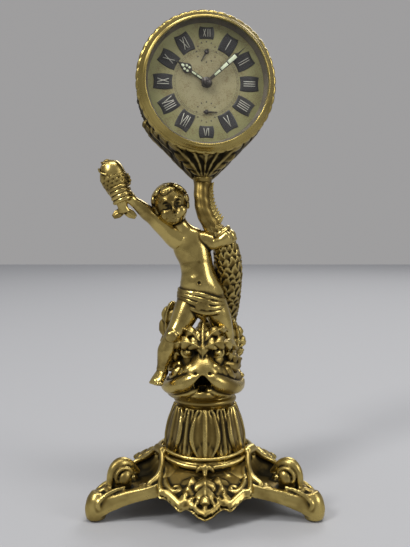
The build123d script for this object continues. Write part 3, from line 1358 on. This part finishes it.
def alarm_hammer():
    """The alarm's hammer on its short arbor."""
    level = BACK_PLATE_FACE + 2 * WHEEL_THICKNESS
    head_place = (HAMMER[0] + HAMMER_LENGTH, HAMMER[1])
    arm = Pos(HAMMER[0] + HAMMER_LENGTH / 2, HAMMER[1], level) * extrude(
        Rectangle(HAMMER_LENGTH, ARBOR_RADIUS), amount=WHEEL_THICKNESS
    )
    head = rod(HAMMER_HEAD_RADIUS, level, level + 2 * WHEEL_THICKNESS, head_place)
    return arm + head + inner_arbor(HAMMER, ARBOR_RADIUS)


# Plates

def pillar_places():
    """Centres of the pillars between the plates."""
    return [clock_polar(PILLAR_CIRCLE, 100 + index * 360 / PILLAR_COUNT) for index in range(PILLAR_COUNT)]


def plate(back):
    """A movement plate with many short sides."""
    outline = RegularPolygon(PLATE_RADIUS, PLATE_SIDES)
    return Pos(0, 0, back) * extrude(outline, amount=PLATE_THICKNESS)


def drilled(blank, back, places_and_radii):
    """A plate with its holes."""
    for place, radius in places_and_radii:
        blank -= bore(radius, back, back + PLATE_THICKNESS, place)
    return blank


def front_plate():
    """The plate behind the dial, with the minute wheel's post."""
    running = ARBOR_RADIUS + RUNNING_GAP
    holes = [(CENTRE, running), (SECONDS, running), (ALARM, running)]
    drilled_plate = drilled(plate(FRONT_PLATE_BACK), FRONT_PLATE_BACK, holes)
    post = rod(ARBOR_RADIUS, FRONT_PLATE_FACE, HOUR_WHEEL_LEVEL + MOTION_THICKNESS, MINUTE_ARBOR)
    return drilled_plate + post


def back_plate():
    """The rear plate."""
    running = ARBOR_RADIUS + RUNNING_GAP
    winding = BARREL_ARBOR_RADIUS + RUNNING_GAP
    holes = [(CENTRE, running), (ALARM, running), (TIME_BARREL, winding), (ALARM_BARREL, winding)]
    return drilled(plate(BACK_PLATE_BACK), BACK_PLATE_BACK, holes)


def plate_pillars():
    """The hexagonal pillars that hold the plates apart."""
    hexagon = RegularPolygon(PILLAR_RADIUS, 6)
    pillars = Part()
    for x, y in pillar_places():
        pillars += Pos(x, y, BACK_PLATE_FACE) * extrude(hexagon, amount=PLATE_GAP)
    return pillars


# Back cover and controls

def back_cover():
    """The flat cover with holes for the arbors, the button and the screws."""
    cover = disc(CASE_RADIUS - CASE_WALL / 2, COVER_BACK, CASE_BACK)
    free = END_SHAKE * 2
    holes = [
        (CENTRE, ARBOR_RADIUS + free),
        (ALARM, ARBOR_RADIUS + free),
        (TIME_BARREL, BARREL_ARBOR_RADIUS + free),
        (ALARM_BARREL, BARREL_ARBOR_RADIUS + free),
        (STOP_BUTTON, BUTTON_STEM_RADIUS + RUNNING_GAP),
    ]
    holes += [(place, COVER_SCREW_RADIUS + SEAT_GAP) for place in cover_screw_places()]
    for place, radius in holes:
        cover -= bore(radius, COVER_BACK, CASE_BACK, place)
    return cover


def back_screws():
    """The three screws of the back cover."""
    screws = Part()
    for x, y in cover_screw_places():
        head_back = COVER_BACK - COVER_SCREW_HEAD_HEIGHT
        screws += rod(COVER_SCREW_HEAD_RADIUS, head_back, COVER_BACK, (x, y))
        screws += rod(COVER_SCREW_RADIUS, COVER_BACK, CASE_BACK + COVER_SCREW_LENGTH, (x, y))
    return screws


def winding_key(place, turn):
    """A butterfly key on its winding arbor."""
    back = CONTROL_FACE - KEY_HUB_LENGTH
    hub = rod(KEY_HUB_RADIUS, back, CONTROL_FACE)
    wing = scale(RegularPolygon(1, SMALL_SIDES), by=(KEY_WING_SPAN / 2, KEY_WING_HEIGHT / 2, 1))
    middle = (0, KEY_WING_THICKNESS / 2, back - KEY_WING_HEIGHT / 4)
    upright = Plane(origin=middle, x_dir=(1, 0, 0), z_dir=(0, -1, 0))
    key = hub + upright * extrude(wing, amount=KEY_WING_THICKNESS)
    key -= bore(BARREL_ARBOR_RADIUS, CONTROL_FACE - KEY_HUB_LENGTH / 2 + OVERRUN, CONTROL_FACE)
    return Pos(place[0], place[1], 0) * Rot(0, 0, turn) * key


def fluted_knob(place):
    """A small knob with pointed flutes, pushed on its arbor."""
    back = CONTROL_FACE - KNOB_LENGTH
    points = []
    for index in range(2 * KNOB_FLUTES):
        angle = radians(index * 180 / KNOB_FLUTES)
        reach = KNOB_RADIUS * (1 - 0.08 * (index % 2))
        points.append((reach * cos(angle), reach * sin(angle)))
    knob = Pos(0, 0, back) * extrude(make_face(Polyline(*points, close=True)), amount=KNOB_LENGTH)
    knob -= bore(ARBOR_RADIUS, CONTROL_FACE - KNOB_LENGTH / 2 + OVERRUN, CONTROL_FACE)
    return Pos(place[0], place[1], 0) * knob


def stop_button():
    """The alarm's push button with its stem and collar."""
    head_back = COVER_BACK - BUTTON_TRAVEL - CONTROL_STAND_OFF - BUTTON_RADIUS
    button = rod(BUTTON_RADIUS, head_back, COVER_BACK - BUTTON_TRAVEL - END_SHAKE, STOP_BUTTON)
    button += rod(BUTTON_STEM_RADIUS, head_back, BACK_PLATE_BACK - BUTTON_TRAVEL - END_SHAKE, STOP_BUTTON)
    return button


# Every piece by name, in the shared frame

def stand_pieces():
    """The castings and fasteners of the stand."""
    putto = putto_body()
    fish = hand_fish()
    tail = dolphin_tail_body()
    head = dolphin_head() - putto
    putto = putto - tail
    arm = raised_arm() - putto - fish
    tail = (tail + dorsal_fin()) - head - putto
    tail -= CLOCK_PLANE * screw_rod(CUP_SCREW_RADIUS, -(CASE_RADIUS + CUP_NECK_HEIGHT + CUP_SCREW_GRIP), 0)
    return {
        "base_casting": base_casting(),
        "bell_pedestal": bell_pedestal(),
        "collar_ring": collar_ring(),
        "tie_rod": tie_rod(),
        "rod_washer": rod_washer(),
        "rod_nut": rod_nut(),
        "dolphin_head": head,
        "dolphin_tail": tail,
        "putto_body": putto,
        "raised_arm": arm,
        "hand_fish": fish,
    }


def clock_pieces():
    """The clock in its own frame."""
    return {
        "leaf_cup": leaf_cup(),
        "cup_screw": cup_screw(),
        "drum_case": drum_case(),
        "bezel": bezel(),
        "crystal": crystal(),
        "rehaut_ring": rehaut_ring(),
        "dial_plate": dial_plate(),
        "hour_hand": hour_hand(),
        "minute_hand": minute_hand(),
        "minute_nut": minute_nut(),
        "seconds_hand": small_hand(-SECONDS_OFFSET, SECONDS_HAND_ANGLE),
        "alarm_hand": small_hand(ALARM_OFFSET, ALARM_HAND_ANGLE),
        "front_plate": front_plate(),
        "back_plate": back_plate(),
        "plate_pillars": plate_pillars(),
        "time_barrel": time_barrel(),
        "alarm_barrel": alarm_barrel(),
        "time_winding_arbor": winding_arbor(TIME_BARREL),
        "alarm_winding_arbor": winding_arbor(ALARM_BARREL),
        "centre_wheel": centre_wheel(),
        "third_wheel": third_wheel(),
        "fourth_wheel": fourth_wheel(),
        "escape_wheel": escape_wheel(),
        "pallet_lever": pallet_lever(),
        "balance_wheel": balance_wheel(),
        "centre_arbor": centre_arbor(),
        "cannon_pinion": cannon_pinion(),
        "minute_wheel": minute_wheel(),
        "hour_wheel": hour_wheel(),
        "alarm_wheel": alarm_wheel(),
        "alarm_arbor": alarm_arbor(),
        "alarm_hammer": alarm_hammer(),
        "back_cover": back_cover(),
        "back_screws": back_screws(),
        "time_key": winding_key(TIME_BARREL, KEY_TURN),
        "alarm_key": winding_key(ALARM_BARREL, -KEY_TURN),
        "set_knob": fluted_knob(CENTRE),
        "alarm_knob": fluted_knob(ALARM),
        "stop_button": stop_button(),
    }


os.makedirs("parts", exist_ok=True)
pieces = stand_pieces()
for piece_name, piece in clock_pieces().items():
    pieces[piece_name] = CLOCK_PLANE * piece
for piece_name, piece in pieces.items():
    export_step(piece, f"parts/{piece_name}.step")
